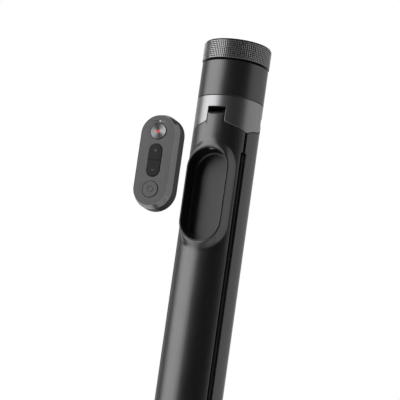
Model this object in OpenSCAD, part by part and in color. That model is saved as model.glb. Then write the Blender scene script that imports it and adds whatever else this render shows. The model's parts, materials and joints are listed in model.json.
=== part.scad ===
// Selfie stick that opens into a tripod, with a remote that docks in one leg.
// Origin: centre of the rubber seat that a camera or phone holder screws down on.
// +Z points up out of that seat, the stick hangs below it, and leg A faces -Y.

/* [Overall] */
// Diameter of the closed stick
body_d = 36; // [33:0.5:44]
// Height from the top rim of the thumb ring to the soles
total_h = 300; // [245:1:360]
// Flatness of the gap between two pieces that never touch
seam = 0.3; // [0.2:0.05:0.6]
// Radial running clearance of a pin or shaft
running = 0.05; // [0.03:0.01:0.09]
// Clearance of two pieces that are fixed together
seated = 0.02; // [0.01:0.01:0.05]

/* [Thumb ring] */
// How far the ring stands proud of the stick
ring_proud = 0.4; // [0.2:0.1:1]
// Height of the thumb ring
ring_h = 11.4; // [8:0.2:16]
// Edge chamfer of the thumb ring
ring_chamfer = 0.5; // [0.2:0.1:1]
// Radial thickness of the thumb ring
ring_wall = 6; // [3:0.5:8]
// Depth of the rubber seat below the ring's rim
seat_recess = 0.5; // [0.2:0.1:1]
// Thickness of the rubber seat
seat_t = 2; // [1:0.2:4]
// Major diameter of the camera stud
stud_d = 6.35; // [6:0.05:6.6]
// Height of the camera stud above the seat
stud_h = 4.5; // [4:0.1:6]
// Depth of the stud's thread relief where it passes through the seat
stud_relief = 0.5; // [0.3:0.1:0.8]
// Diameter of the hub that turns in the head
hub_d = 12; // [9:0.5:14]

/* [Head] */
// Height of the smooth head
head_h = 20; // [16:0.5:28]
// Wall of the head
head_wall = 1.6; // [1:0.1:3]
// Thickness of the head's top deck
deck_t = 3; // [2:0.2:5]
// Gap under the thumb ring
ring_gap = 0.5; // [0.4:0.05:1]
// Length of the innermost tube held in the head
socket_depth = 12; // [8:0.5:12.5]

/* [Yoke] */
// Wall of the silver sleeve
sleeve_wall = 1.2; // [0.8:0.1:2]
// Depth of the notch's top below the sleeve's top
notch_drop = 6.2; // [6:0.1:9]
// Depth of the hinge pins below the sleeve's top
pin_drop = 12.45; // [11.5:0.05:16]
// Diameter of a hinge pin
pin_d = 2.5; // [2:0.1:3]
// Length of a hinge pin
pin_l = 14.2; // [12:0.2:14.4]
// Radius of a leg's knuckle
knuckle_r = 4.2; // [3.8:0.1:4.6]
// Width of a leg's knuckle
knuckle_w = 9.9; // [8:0.1:12]
// Gap on each side of a knuckle
knuckle_gap = 0.2; // [0.15:0.05:0.4]
// Radius about the pin inside which the sleeve's shoulders end
shoulder_r = 3.5; // [3:0.1:4]
// Fall of the shoulders per millimetre towards the axis
shoulder_slope = 0.47; // [0.3:0.01:0.6]
// Thickness of a hinge friction washer
washer_t = 0.6; // [0.4:0.1:1]

/* [Legs] */
// Wall of a leg's outer skin
skin = 1.5; // [1:0.1:2]
// Width of the gap between two closed legs
leg_gap = 1.2; // [0.8:0.1:2]
// Width of the long groove between two legs' skins
groove_w = 3.3; // [2:0.1:4]
// Height of a leg's solid head below the hinge pin
leg_head_h = 17; // [14:0.5:24]
// Wall of a leg's inner liner
liner_wall = 1.2; // [0.8:0.1:2]
// Height of a rubber foot
foot_h = 14; // [10:0.5:24]
// Diameter of the two screws in each liner
liner_screw_d = 2; // [1.6:0.1:2.6]

/* [Pole] */
// Outer diameter of the outer tube
tube_d = 14.4; // [12:0.1:14.6]
// Wall of every tube
tube_wall = 0.55; // [0.4:0.05:0.6]
// Step in diameter from one tube to the next
tube_step = 1.8; // [1.6:0.1:2]
// Height of the pole's lower end above the soles
pole_lift = 40; // [36:1:60]
// Height of each guide bush and of each slider
bush_h = 8; // [5:0.5:12]
// Height of a bush's top lip
lip_h = 1; // [0.6:0.1:1.2]
// Height of the plug in the pole's lower end
end_cap_h = 6; // [4:0.5:10]

/* [Remote] */
// Length of the remote
remote_l = 50.2; // [44:0.2:60]
// Width of the remote
remote_w = 21.4; // [19:0.1:22]
// Thickness of the remote
remote_t = 10.6; // [9:0.1:10.8]
// Gap all round the docked remote
dock_gap = 0.4; // [0.3:0.05:0.8]
// Height of the docked remote's face above the pocket's rim
face_proud = 0.4; // [0.1:0.1:1]
// How far the remote is drawn out of its pocket
remote_out = 68; // [20:0.5:120]
// Depth of the pocket's centre below the hinge pins
pocket_drop = 42.6; // [42.4:0.1:70]
// Chamfer round the remote's face
face_chamfer = 1.1; // [0.6:0.1:1.6]
// Thickness of the remote's face plate
face_t = 1; // [0.8:0.1:1.4]
// Wall of the remote's back shell
case_wall = 1.2; // [0.8:0.1:1.6]
// Height of the remote's back shell
case_h = 6.6; // [6:0.1:7]
// Distance of the round buttons from the remote's centre
button_pitch = 15.4; // [14.6:0.1:16]
// Diameter of the record button's hole
record_d = 9; // [8:0.1:10]
// Diameter of the red dot in the record button
dot_d = 1.7; // [1:0.1:2.4]
// Diameter of the menu button's hole
menu_d = 8.9; // [8:0.1:10]
// Length of the rocker's hole
rocker_l = 17.8; // [14:0.1:18]
// Width of the rocker's hole
rocker_w = 7.6; // [6:0.1:8.6]
// Diameter of the status light
led_d = 0.8; // [0.5:0.1:1.2]
// Gap round each button
button_gap = 0.25; // [0.15:0.05:0.4]
// Travel of the round buttons
button_travel = 0.4; // [0.2:0.05:0.45]
// Height of the buttons above the face
button_proud = 0.2; // [0:0.1:0.6]

/* [Pocket] */
// Wall of the pocket tray
tray_wall = 0.7; // [0.5:0.1:1]
// Wall of the raised rim round the pocket
rim_wall = 0.9; // [0.6:0.1:1.4]
// Height of the rim above the stick's surface
rim_rise = 0.9; // [0.6:0.1:1.4]

/* [Hidden] */
$fn = 96;

body_r = body_d / 2;
far = body_d * 2;
bite = 0.01;

// Heights along the stick
ring_z = seat_recess - ring_h;
head_top_z = ring_z - ring_gap;
head_bottom_z = ring_z - head_h - seam;
sleeve_top_z = head_bottom_z - seam;
notch_top_z = sleeve_top_z - notch_drop;
pin_z = sleeve_top_z - pin_drop;
leg_head_z = pin_z - leg_head_h;
sole_z = seat_recess - total_h;
foot_top_z = sole_z + foot_h;
pole_bottom_z = sole_z + pole_lift;
pocket_z = pin_z - pocket_drop;

// Leg hinge, as distance from the stick's axis
pin_r = pin_d / 2;
pin_h = body_r - knuckle_r + 0.1;
slot_w = knuckle_w + 2 * knuckle_gap;
lobe_z = pin_z - shoulder_r - shoulder_slope * (pin_h - body_r / 2);
washer_r = knuckle_r - 1.2;
tab_step = 0.85;
tab_drop = 3.2;
washer_face = slot_w / 2 - knuckle_gap / 2;

// Tubes, from the outside in
tube_bottom_step = 2;
tube_top_step = 1.5;
core_top_z = sleeve_top_z - seam - 1;
socket_wall_t = 3;
tube_1_top_z = core_top_z;
function tube_r(k) = (tube_d - (k - 1) * tube_step) / 2;
function tube_bore_r(k) = tube_r(k) - tube_wall;
function tube_bottom(k) = (k == 1) ? pole_bottom_z : pole_bottom_z + end_cap_h + 1 + (k - 1) * tube_bottom_step;
function tube_top(k) = (k == 5) ? head_bottom_z + socket_depth : tube_1_top_z + (k - 1) * tube_top_step;

// Legs
pole_clear_r = tube_d / 2 + 0.7;
liner_r = body_r - skin - seated;
liner_screw_z = [foot_top_z + 12, pocket_z - remote_l / 2 - 20];
screw_head_h = pole_clear_r + 0.6;
sector_angle = 120;
wedge_slope = tan(sector_angle / 2);

// Pocket and remote, as distance from the stick's axis
rim_h = body_r + rim_rise;
docked_face_h = rim_h + face_proud;
docked_back_h = docked_face_h - remote_t;
tray_floor_h = docked_back_h - 0.2;
tray_back_h = tray_floor_h - tray_wall;
pocket_w = remote_w + 2 * dock_gap;
pocket_l = remote_l + 2 * dock_gap;
tray_w = pocket_w + 2 * tray_wall;
tray_l = pocket_l + 2 * tray_wall;
rim_hole_w = tray_w + 2 * seated;
rim_hole_l = tray_l + 2 * seated;
rim_w = rim_hole_w + 2 * rim_wall;
rim_l = rim_hole_l + 2 * rim_wall;
remote_back_h = docked_back_h + remote_out;

// Layers of the remote, counted from its back
face_top = remote_t - 0.1;
face_under = face_top - face_t;
flange_t = 0.5;
flange_lap = 0.3;
led_y = button_pitch + record_d / 2 + 1;
button_top = face_top + button_proud;
button_foot = face_under - flange_t - seam;
switch_top = button_foot - button_travel - 0.15;
dot_h = 0.4;
board_t = 0.8;
board_top = switch_top - 1.4;
board_z = board_top - board_t;
battery_z = case_wall + seated;
battery_t = board_z - battery_z - 0.3;
battery_w = 12;
battery_l = 26;
frame_wall = (remote_w - 19.2) / 2 + 0.2;
inner_l = remote_l - 2 * frame_wall;
inner_w = remote_w - 2 * frame_wall;
axle_r = 0.7;
axle_z = face_under - 1;
socket_w = 9;
socket_h = 3.2;
socket_l = 6.6;
socket_wall = 0.3;
socket_z = case_wall + 0.35 + socket_h / 2;
socket_mouth_y = (remote_l - remote_w) / 2 + sqrt(pow(remote_w / 2, 2) - pow(socket_w / 2, 2)) - 0.2;

// ---- shared shapes ----

// A flat ring
module ring(r_out, r_in, z, h) {
  translate([0, 0, z]) {
    difference() {
      cylinder(h = h, r = r_out);
      translate([0, 0, -1]) cylinder(h = h + 2, r = r_in);
    }
  }
}

// Copies a leg A shape to leg number i, counted anticlockwise from above
module at_leg(i) {
  rotate([0, 0, sector_angle * i]) children();
}

// Extrudes an outline drawn as (distance from the axis, height) across leg A
module across(w) {
  rotate([90, 0, -90]) linear_extrude(w, center = true) children();
}

// Leg A's share of the plan, with its sides moved in by inset
module wedge(inset) {
  tip = inset / sin(sector_angle / 2);
  polygon([[0, -tip], [-far * wedge_slope, -tip - far], [far * wedge_slope, -tip - far]]);
}

// A flat outline with round ends
module stadium(l, w) {
  union() {
    square([w, l - w], center = true);
    translate([0, (l - w) / 2]) circle(d = w);
    translate([0, (w - l) / 2]) circle(d = w);
  }
}

// A block with round ends and a chamfer round its top
module pill(l, w, h, chamfer) {
  straight = l - w;
  rotate([90, 0, 0]) {
    linear_extrude(straight, center = true) {
      polygon([
        [-w / 2, 0], [w / 2, 0], [w / 2, h - chamfer],
        [w / 2 - chamfer, h], [chamfer - w / 2, h], [-w / 2, h - chamfer]
      ]);
    }
  }
  for (side = [-1, 1]) {
    translate([0, side * straight / 2, 0]) {
      cylinder(h = h - chamfer, d = w);
      translate([0, 0, h - chamfer]) cylinder(h = chamfer, r1 = w / 2, r2 = w / 2 - chamfer);
    }
  }
}

// Places a shape drawn on the pocket's plan, with +Z out of the pocket
module out_of_pocket(h) {
  translate([0, -h, pocket_z]) rotate([90, 0, 0]) children();
}

// ---- thumb ring ----

module thumb_ring() {
  r = body_r + ring_proud;
  c = ring_chamfer;
  r_in = r - ring_wall;
  color([0.09, 0.09, 0.095])
    translate([0, 0, ring_z])
      rotate_extrude()
        polygon([
          [r_in, 0], [r - c, 0], [r, c], [r, ring_h - c], [r - c, ring_h], [r_in, ring_h]
        ]);
}

module top_disc() {
  disc_h = ring_h - seat_recess - seat_t;
  color([0.2, 0.2, 0.21])
    ring(body_r + ring_proud - ring_wall - seated, hub_d / 2 + seated, ring_z, disc_h);
}

module rubber_seat() {
  color([0.04, 0.04, 0.04])
    ring(body_r + ring_proud - ring_wall - seated, stud_d / 2 + seated, -seat_t, seat_t);
}

module camera_stud() {
  hub_bottom = head_top_z - deck_t - 1.1;
  color([0.75, 0.75, 0.76]) {
    difference() {
      union() {
        translate([0, 0, hub_bottom]) cylinder(h = -seat_t - hub_bottom, r = hub_d / 2 - running);
        translate([0, 0, -seat_t - bite]) cylinder(h = seat_t + 2 * bite, r = stud_d / 2 - stud_relief);
        cylinder(h = stud_h, d = stud_d);
      }
      ring(hub_d / 2 + 1, hub_d / 2 - 1, head_top_z - deck_t - 0.8, 0.6);
    }
  }
}

module retaining_ring() {
  color([0.6, 0.6, 0.62])
    ring(hub_d / 2 + 1, hub_d / 2 - 1 + seated, head_top_z - deck_t - 0.75, 0.5);
}

// ---- head ----

module head_housing() {
  housing_h = head_top_z - head_bottom_z;
  color([0.1, 0.1, 0.105]) {
    difference() {
      translate([0, 0, head_bottom_z]) cylinder(h = housing_h, r = body_r);
      translate([0, 0, head_bottom_z - 1]) cylinder(h = housing_h - deck_t + 1, r = body_r - head_wall);
      translate([0, 0, head_bottom_z]) cylinder(h = housing_h + 1, r = hub_d / 2);
    }
  }
}

module head_core() {
  web_top = head_bottom_z + socket_depth + 2;
  color([0.13, 0.13, 0.13]) {
    difference() {
      union() {
        translate([0, 0, web_top - 2]) cylinder(h = 2, r = body_r - head_wall - seated);
        translate([0, 0, tube_top(4) + lip_h + seam]) cylinder(h = web_top - tube_top(4) - lip_h - seam, r = tube_r(5) + socket_wall_t);
      }
      translate([0, 0, head_bottom_z - 1]) cylinder(h = socket_depth + 1, r = tube_r(5) + seated);
      translate([0, 0, head_bottom_z]) cylinder(h = far, r = 1.55);
    }
  }
}

module head_screw() {
  top = head_bottom_z + socket_depth + 2;
  color([0.6, 0.6, 0.62]) {
    translate([0, 0, top + seated]) cylinder(h = 1.4, r = 2.6);
    translate([0, 0, top - 9]) cylinder(h = 9.2, r = 1.5);
  }
}

module tube_plug() {
  top = head_bottom_z + socket_depth - seated;
  color([0.7, 0.7, 0.72])
    ring(tube_bore_r(5) - seated, 1.5 + seated, top - 10, 10);
}

module thrust_washer() {
  color([0.85, 0.84, 0.8])
    ring(body_r - 4, hub_d / 2 + 2, head_top_z + running, ring_gap - 2 * running);
}

// ---- yoke ----

// What the sleeve and the core keep clear for leg A: the space under its shoulders and its slot
module leg_space() {
  across(far) {
    difference() {
      translate([0, pin_z - far]) square([far, far]);
      translate([pin_h, pin_z]) circle(r = shoulder_r);
      polygon([
        [pin_h, pin_z - shoulder_r], [0, pin_z - shoulder_r - shoulder_slope * pin_h],
        [-bite, pin_z + 1], [pin_h, pin_z + 1]
      ]);
    }
  }
  across(slot_w) {
    slot_back_h = pin_h - knuckle_r - seam;
    translate([slot_back_h, pin_z - far]) square([far, far + notch_top_z - pin_z]);
  }
}

module yoke_sleeve() {
  color([0.56, 0.56, 0.58]) {
    difference() {
      ring(body_r, body_r - sleeve_wall, lobe_z, sleeve_top_z - lobe_z);
      for (i = [0:2]) {
        at_leg(i) {
          leg_space();
          across(pin_l + 2 * seated) translate([pin_h, pin_z]) circle(r = pin_r + seated);
        }
      }
    }
  }
}

module yoke_core() {
  color([0.08, 0.08, 0.08]) {
    difference() {
      ring(body_r - sleeve_wall - seated, tube_d / 2 + seated, lobe_z, core_top_z - lobe_z);
      for (i = [0:2]) {
        at_leg(i) {
          leg_space();
          across(far) translate([pin_h, pin_z]) circle(r = pin_r + seated);
        }
      }
    }
  }
}

module hinge_pins() {
  color([0.7, 0.7, 0.72])
    for (i = [0:2]) at_leg(i) across(pin_l) translate([pin_h, pin_z]) circle(r = pin_r);
}

module hinge_washers() {
  color([0.85, 0.84, 0.8]) {
    for (i = [0:2]) {
      at_leg(i) {
        for (side = [-1, 1]) {
          translate([side * (washer_face - washer_t / 2), 0, 0]) {
            across(washer_t) {
              difference() {
                translate([pin_h, pin_z]) circle(r = washer_r);
                translate([pin_h, pin_z]) circle(r = pin_r + seated);
              }
            }
          }
        }
      }
    }
  }
}

module pole_end_cap() {
  color([0.08, 0.08, 0.08]) {
    translate([0, 0, pole_bottom_z + seated]) cylinder(h = end_cap_h, r = tube_bore_r(1) - seated);
    translate([0, 0, pole_bottom_z - 1.5]) cylinder(h = 1.5, r = tube_d / 2);
    translate([0, 0, pole_bottom_z - bite]) cylinder(h = 1, r = tube_bore_r(1) - seated);
  }
}

// ---- pole ----

module tube(k) {
  shade = 0.1 + 0.02 * k;
  color([shade, shade, shade + 0.01])
    ring(tube_r(k), tube_bore_r(k), tube_bottom(k), tube_top(k) - tube_bottom(k));
}

// Guide bush in the top of tube k, for the next tube in
module bush(k) {
  color([0.05, 0.05, 0.05]) {
    ring(tube_bore_r(k) - seated, tube_r(k + 1) + running, tube_top(k) - bush_h, bush_h + bite);
    ring(tube_r(k) - seated, tube_r(k + 1) + running, tube_top(k) + seated, lip_h);
  }
}

// Slider on the foot of tube k, inside the next tube out
module slider(k) {
  color([0.75, 0.75, 0.72]) {
    ring(tube_bore_r(k - 1) - running, tube_r(k) + seated, tube_bottom(k), bush_h);
    translate([0, 0, tube_bottom(k) - 1]) cylinder(h = 1 - seated, r = tube_bore_r(k - 1) - running);
    ring(tube_bore_r(k - 1) - running, tube_r(k) + seated, tube_bottom(k) - 0.5, 1);
  }
}

// ---- legs ----

// The skin's plan: an arc that stops short of the grooves
module skin_plan() {
  difference() {
    intersection() {
      circle(r = body_r);
      wedge(groove_w / 2);
    }
    circle(r = body_r - skin);
  }
}

// Solid head of leg A below and between the sleeve's shoulders, with its knuckle
module leg_head() {
  clear_r = shoulder_r + seam;
  intersection() {
    translate([0, 0, leg_head_z]) {
      linear_extrude(far) {
        difference() {
          intersection() {
            circle(r = body_r);
            wedge(leg_gap / 2);
          }
          circle(r = pole_clear_r);
        }
      }
    }
    union() {
      across(far) {
        difference() {
          translate([0, leg_head_z]) square([far, pin_z - leg_head_z]);
          translate([pin_h, pin_z]) circle(r = clear_r);
          polygon([
            [pin_h, pin_z - clear_r - bite], [0, pin_z - clear_r - shoulder_slope * pin_h],
            [-1, pin_z + 1], [pin_h, pin_z + 1]
          ]);
          translate([body_r - tab_step, pin_z - tab_drop]) square([far, far]);
        }
      }
      across(knuckle_w) {
        translate([pin_h, pin_z]) circle(r = knuckle_r);
        translate([pin_h - knuckle_r, leg_head_z]) square([far, pin_z - leg_head_z]);
      }
    }
  }
}

module leg_shell(has_pocket) {
  color([0.11, 0.11, 0.115]) {
    difference() {
      union() {
        translate([0, 0, foot_top_z + seam]) linear_extrude(leg_head_z - foot_top_z - seam + bite) skin_plan();
        leg_head();
        if (has_pocket) out_of_pocket(rim_h - 9) linear_extrude(9) stadium(rim_l, rim_w);
      }
      across(far) translate([pin_h, pin_z]) circle(r = pin_r + running);
      for (side = [-1, 1]) {
        translate([side * (washer_face + far / 2 - washer_t - running), 0, 0])
          across(far) translate([pin_h, pin_z]) circle(r = washer_r + running);
      }
      if (has_pocket) {
        out_of_pocket(0) linear_extrude(far) stadium(rim_hole_l, rim_hole_w);
        out_of_pocket(0) linear_extrude(pole_clear_r) stadium(rim_l + 2, rim_w + 2);
      }
    }
  }
}

module leg_liner(has_pocket) {
  bottom = foot_top_z + seam;
  height = leg_head_z - seam - bottom;
  color([0.05, 0.05, 0.05]) {
    difference() {
      translate([0, 0, bottom]) {
        linear_extrude(height) {
          difference() {
            intersection() {
              circle(r = liner_r);
              wedge(leg_gap / 2);
            }
            circle(r = pole_clear_r);
            difference() {
              intersection() {
                circle(r = liner_r - liner_wall);
                wedge(leg_gap / 2 + liner_wall);
              }
              circle(r = pole_clear_r + liner_wall);
            }
          }
        }
      }
      liner_screw_places(far, liner_screw_d + 2 * seated);
      liner_screw_places(screw_head_h, 2 * liner_screw_d + 2 * seated);
      if (has_pocket) out_of_pocket(0) linear_extrude(far) stadium(rim_l + 2 * seated, rim_w + 2 * seated);
    }
  }
}

// Cylinders out to distance h from the axis where the liner's screws sit
module liner_screw_places(h, d) {
  for (z = liner_screw_z) {
    translate([0, 0, z]) rotate([90, 0, 0]) cylinder(h = h, d = d);
  }
}

module leg_screws() {
  head_h = screw_head_h - seated;
  tip_h = liner_r - liner_wall - 0.5;
  color([0.6, 0.6, 0.62]) {
    for (z = liner_screw_z) {
      translate([0, -pole_clear_r - 0.1, z]) rotate([90, 0, 0]) cylinder(h = head_h - pole_clear_r - 0.1, r = liner_screw_d);
      translate([0, -pole_clear_r - 0.1, z]) rotate([90, 0, 0]) cylinder(h = tip_h - pole_clear_r, r = liner_screw_d / 2);
    }
  }
}

// Foot: a full slice of the round sole, with a tenon up into the liner
module leg_foot() {
  relief = 0.4;
  color([0.05, 0.05, 0.05]) {
    translate([0, 0, sole_z]) {
      linear_extrude(foot_h) {
        intersection() {
          circle(r = body_r - relief);
          wedge(leg_gap / 2);
        }
      }
    }
    translate([0, 0, foot_top_z - bite]) {
      linear_extrude(6) {
        difference() {
          intersection() {
            circle(r = liner_r - liner_wall - seated);
            wedge(leg_gap / 2 + liner_wall + seated);
          }
          circle(r = pole_clear_r + liner_wall + seated);
        }
      }
    }
  }
}

// ---- pocket ----

module remote_tray() {
  depth = rim_h - tray_back_h;
  color([0.12, 0.12, 0.125]) {
    intersection() {
      difference() {
        out_of_pocket(tray_back_h) linear_extrude(depth - seated) stadium(tray_l, tray_w);
        out_of_pocket(tray_floor_h) linear_extrude(depth + 1) stadium(pocket_l, pocket_w);
        detent_seat(seated);
      }
      translate([0, 0, pocket_z - far]) linear_extrude(2 * far) wedge(leg_gap / 2);
    }
  }
}

// Slot for the detent spring in the middle of the pocket's upper end
module detent_seat(gap) {
  w = 3 + 2 * gap;
  h = 0.9 + 2 * gap;
  translate([-w / 2, -rim_h + 2.2 - gap, pocket_z + pocket_l / 2 - 0.2]) cube([w, h, tray_wall + 0.2 - 0.1 + gap]);
}

module detent_spring() {
  color([0.85, 0.85, 0.86]) detent_seat(0);
}

// ---- remote ----

module on_remote() {
  out_of_pocket(remote_back_h) children();
}

module remote_back() {
  color([0.09, 0.09, 0.095]) {
    on_remote() {
      difference() {
        linear_extrude(case_h) stadium(remote_l, remote_w);
        translate([0, 0, case_wall]) linear_extrude(case_h) stadium(remote_l - 2 * case_wall, remote_w - 2 * case_wall);
        translate([0, remote_l / 2, socket_z]) rotate([90, 0, 0])
          linear_extrude(6 * case_wall, center = true) rotate([0, 0, 90]) stadium(socket_w + 2 * seated, socket_h + 2 * seated);
      }
    }
  }
}

module remote_frame() {
  frame_h = remote_t - case_h - seated;
  color([0.32, 0.32, 0.33]) {
    on_remote() {
      difference() {
        translate([0, 0, case_h + seated]) pill(remote_l, remote_w, frame_h, face_chamfer);
        linear_extrude(far) stadium(inner_l, inner_w);
      }
    }
  }
}

// The holes in the face plate
module face_holes() {
  translate([0, button_pitch]) circle(d = record_d);
  translate([0, -button_pitch]) circle(d = menu_d);
  stadium(rocker_l, rocker_w);
  translate([0, led_y]) circle(d = led_d);
}

module remote_face() {
  color([0.3, 0.3, 0.31]) {
    on_remote() {
      difference() {
        translate([0, 0, face_under]) {
          linear_extrude(face_t) {
            difference() {
              stadium(inner_l - 2 * seated, inner_w - 2 * seated);
              face_holes();
            }
          }
        }
      }
      for (side = [-1, 1]) {
        translate([side * (rocker_w / 2 + 1.2), 0, 0]) {
          difference() {
            translate([-0.6, -1.5, axle_z - 1.2]) cube([1.2, 3, face_under - axle_z + 1.2 + bite]);
            translate([0, 0, axle_z]) rotate([0, 90, 0]) cylinder(h = 4, r = axle_r + seated, center = true);
          }
        }
      }
    }
  }
}

module remote_board() {
  color([0.05, 0.2, 0.1]) {
    on_remote() {
      translate([0, 0, board_z])
        linear_extrude(board_t) stadium(remote_l - 2 * case_wall - 0.6, remote_w - 2 * case_wall - 0.6);
    }
  }
}

module remote_battery() {
  color([0.55, 0.57, 0.6]) {
    on_remote() {
      translate([-battery_w / 2, -battery_w - 5, battery_z]) cube([battery_w, battery_l, battery_t]);
    }
  }
}

module key_switches() {
  color([0.6, 0.6, 0.62]) {
    on_remote() {
      for (y = [button_pitch, rocker_l / 2 - 3, 3 - rocker_l / 2, -button_pitch]) {
        translate([-2, y - 2, board_top + seated]) cube([4, 4, 0.8]);
        translate([0, y, board_top + 0.8]) cylinder(h = switch_top - board_top - 0.8, r = 1);
      }
    }
  }
}

// A round button with a retaining flange under the face plate
module round_button(y, hole_d) {
  on_remote() {
    translate([0, y, button_foot]) {
      cylinder(h = button_top - button_foot, d = hole_d - 2 * button_gap);
      cylinder(h = flange_t, d = hole_d + 2 * flange_lap);
    }
  }
}

module record_button() {
  color([0.7, 0.7, 0.71]) {
    difference() {
      round_button(button_pitch, record_d);
      on_remote() translate([0, button_pitch, button_top - dot_h]) cylinder(h = 1, d = dot_d + 2 * seated);
    }
  }
}

module record_dot() {
  color([0.8, 0.08, 0.08])
    on_remote() translate([0, button_pitch, button_top - dot_h]) cylinder(h = dot_h, d = dot_d);
}

module menu_button() {
  color([0.33, 0.33, 0.34]) round_button(-button_pitch, menu_d);
}

module zoom_rocker() {
  rocker_foot = axle_z - 1.2;
  color([0.12, 0.12, 0.12]) {
    on_remote() {
      difference() {
        translate([0, 0, rocker_foot])
          linear_extrude(button_top - rocker_foot) stadium(rocker_l - 2 * button_gap, rocker_w - 2 * button_gap);
        translate([0, 0, axle_z]) rotate([0, 90, 0]) cylinder(h = far, r = axle_r + running, center = true);
        for (side = [-1, 1]) {
          translate([0, side * rocker_l / 2, rocker_foot])
            cube([far, rocker_l - 7, 2 * (button_foot - rocker_foot)], center = true);
        }
      }
    }
  }
}

module rocker_axle() {
  color([0.7, 0.7, 0.72]) {
    on_remote() {
      translate([0, 0, axle_z]) rotate([0, 90, 0]) cylinder(h = rocker_w + 3.4, r = axle_r, center = true);
    }
  }
}

module light_pipe() {
  color([0.95, 0.95, 0.95]) {
    on_remote() {
      translate([0, led_y, face_under - 1]) {
        cylinder(h = face_t + 1, d = led_d - 2 * seated);
        cylinder(h = 1 - seated, d = led_d + 0.4);
      }
    }
  }
}

module charge_socket() {
  color([0.75, 0.75, 0.76]) {
    on_remote() {
      translate([0, socket_mouth_y, socket_z]) {
        rotate([90, 0, 0]) {
          difference() {
            linear_extrude(socket_l) rotate([0, 0, 90]) stadium(socket_w, socket_h);
            translate([0, 0, -1])
              linear_extrude(socket_l) rotate([0, 0, 90]) stadium(socket_w - 2 * socket_wall, socket_h - 2 * socket_wall);
          }
        }
      }
    }
  }
}

module socket_tongue() {
  color([0.08, 0.08, 0.08]) {
    on_remote() {
      tongue_l = socket_l - 1.8 - seated;
      translate([-3.3, socket_mouth_y - 0.8 - tongue_l, socket_z - 0.35]) cube([6.6, tongue_l, 0.7]);
    }
  }
}

// ---- assembly ----

thumb_ring();
top_disc();
rubber_seat();
camera_stud();
retaining_ring();
head_housing();
head_core();
head_screw();
tube_plug();
thrust_washer();
yoke_sleeve();
yoke_core();
hinge_pins();
hinge_washers();
pole_end_cap();
tube(1);  // tube_1
tube(2);  // tube_2
tube(3);  // tube_3
tube(4);  // tube_4
tube(5);  // tube_5
bush(1);  // bush_1
bush(2);  // bush_2
bush(3);  // bush_3
bush(4);  // bush_4
slider(2);  // slider_2
slider(3);  // slider_3
slider(4);  // slider_4
slider(5);  // slider_5
leg_shell(true);  // leg_a_shell
leg_liner(true);  // leg_a_liner
leg_foot();  // leg_a_foot
leg_screws();  // leg_a_screws
at_leg(1) leg_shell(false);  // leg_b_shell
at_leg(1) leg_liner(false);  // leg_b_liner
at_leg(1) leg_foot();  // leg_b_foot
at_leg(1) leg_screws();  // leg_b_screws
at_leg(2) leg_shell(false);  // leg_c_shell
at_leg(2) leg_liner(false);  // leg_c_liner
at_leg(2) leg_foot();  // leg_c_foot
at_leg(2) leg_screws();  // leg_c_screws
remote_tray();
detent_spring();
remote_back();
remote_frame();
remote_face();
remote_board();
remote_battery();
key_switches();
record_button();
record_dot();
zoom_rocker();
rocker_axle();
menu_button();
light_pipe();
charge_socket();
socket_tongue();
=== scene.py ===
"""Selfie stick with a tripod grip and a docking remote: detailed looks built round its CAD frame."""
import json
import math

import bmesh
import bpy
from mathutils import Matrix, Vector


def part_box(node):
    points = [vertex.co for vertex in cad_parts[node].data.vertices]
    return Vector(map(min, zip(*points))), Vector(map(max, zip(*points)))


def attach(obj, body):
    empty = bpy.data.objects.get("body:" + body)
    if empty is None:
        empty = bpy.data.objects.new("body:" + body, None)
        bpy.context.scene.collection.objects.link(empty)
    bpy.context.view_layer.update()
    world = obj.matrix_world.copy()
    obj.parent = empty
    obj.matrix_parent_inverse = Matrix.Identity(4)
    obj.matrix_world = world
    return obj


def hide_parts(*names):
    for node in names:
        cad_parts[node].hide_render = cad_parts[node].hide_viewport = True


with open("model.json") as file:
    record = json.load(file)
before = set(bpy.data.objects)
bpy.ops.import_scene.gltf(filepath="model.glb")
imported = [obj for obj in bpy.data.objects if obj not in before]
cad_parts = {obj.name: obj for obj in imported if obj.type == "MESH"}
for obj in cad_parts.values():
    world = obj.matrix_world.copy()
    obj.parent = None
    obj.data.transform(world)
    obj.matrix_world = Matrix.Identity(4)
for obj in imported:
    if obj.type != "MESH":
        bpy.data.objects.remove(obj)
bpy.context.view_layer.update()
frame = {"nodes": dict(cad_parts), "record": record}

MM = 0.001
scene = bpy.context.scene


# ---------------------------------------------------------------- sizes of the frame, in millimetres
def box_mm(node):
    """The low and high corners of a CAD node's box."""
    low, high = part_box(node)
    return low / MM, high / MM


RING_LOW, RING_HIGH = box_mm("thumb_ring")
RING_R = RING_HIGH.x
SEAT_LOW, SEAT_HIGH = box_mm("rubber_seat")
STUD_LOW, STUD_HIGH = box_mm("camera_stud")
HEAD_LOW, HEAD_HIGH = box_mm("head_housing")
BODY_R = HEAD_HIGH.x
SOLE_Z = box_mm("leg_a_foot")[0].z
TRAY_LOW, TRAY_HIGH = box_mm("remote_tray")
REMOTE_LOW, REMOTE_HIGH = box_mm("remote_back")
FACE_LOW, FACE_HIGH = box_mm("remote_face")
POCKET_Z = (TRAY_LOW.z + TRAY_HIGH.z) / 2
REMOTE_BACK_H = -REMOTE_HIGH.y

# Sizes that the frame's boxes don't give; they are the CAD source's own values.
SECTOR = math.radians(60)  # half of the turn from one leg to the next
STUD_R = 3.175             # a 1/4 inch thread
KEY_Y = 15.4               # from the remote's middle to each round key's axis
LED_Y = 20.9
DOT_R = 0.85
POLE_CLEAR_R = 7.9         # what the legs leave free for the pole
GAP = 0.02                 # left between two pieces that seat on each other


# ---------------------------------------------------------------- camera
CAM_AZIMUTH = math.radians(23.4)
CAM_DISTANCE = 1.5828
CAM_DROP = 0.4165
CAM_YAW = -0.0057
CAM_PITCH = 0.2120
CAM_ROLL = 0.1415
CAM_LENS = 270.0


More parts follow.
